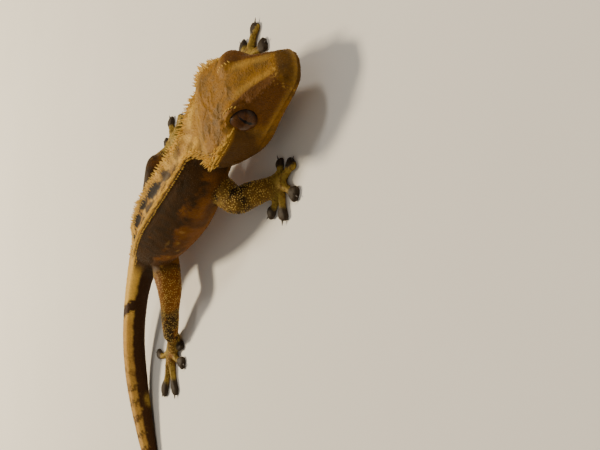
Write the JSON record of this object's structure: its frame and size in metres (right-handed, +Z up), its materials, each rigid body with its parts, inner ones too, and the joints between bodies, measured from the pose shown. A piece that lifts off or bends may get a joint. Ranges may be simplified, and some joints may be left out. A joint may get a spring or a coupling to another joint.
{
  "type": "crested gecko model",
  "caption": "Life-size still model of a crested gecko at rest on spread feet, with rows of crest spines, a wedge-shaped head and its tail swept to one side.",
  "frame": {"origin": "centre of the animal's bounding box, on the floor that its feet and tail rest on", "axes": "+Z up, the animal looks along -Y, its right side towards -X"},
  "size_m": [0.1098, 0.1391, 0.0215],
  "materials": {
    "head_skin": "matt, finely granular, warm brown with grey mottling",
    "back_skin": "matt, finely granular, cream band over rusty brown flanks",
    "tail_skin": "matt, fine scales, cream with dark breaks",
    "limb_skin": "matt, granular, olive brown with orange and dark blotches",
    "foot_skin": "matt, cream toes with grey-brown pads",
    "eye": "wet gloss, dark copper with a slit pupil"
  },
  "bodies": {
    "root": {"head": "head_skin", "neck": "back_skin", "torso_chest": "back_skin", "torso_belly": "back_skin", "torso_hips": "back_skin", "tail_base": "tail_skin", "tail_middle": "tail_skin", "tail_end": "tail_skin", "upper_arm_right": "limb_skin", "forearm_right": "limb_skin", "thigh_right": "limb_skin", "shin_right": "limb_skin", "hand_right": "foot_skin", "foot_right": "foot_skin", "upper_arm_left": "limb_skin", "forearm_left": "limb_skin", "thigh_left": "limb_skin", "shin_left": "limb_skin", "hand_left": "foot_skin", "foot_left": "foot_skin", "eye_right": "eye", "eye_left": "eye"}
  },
  "joints": []
}
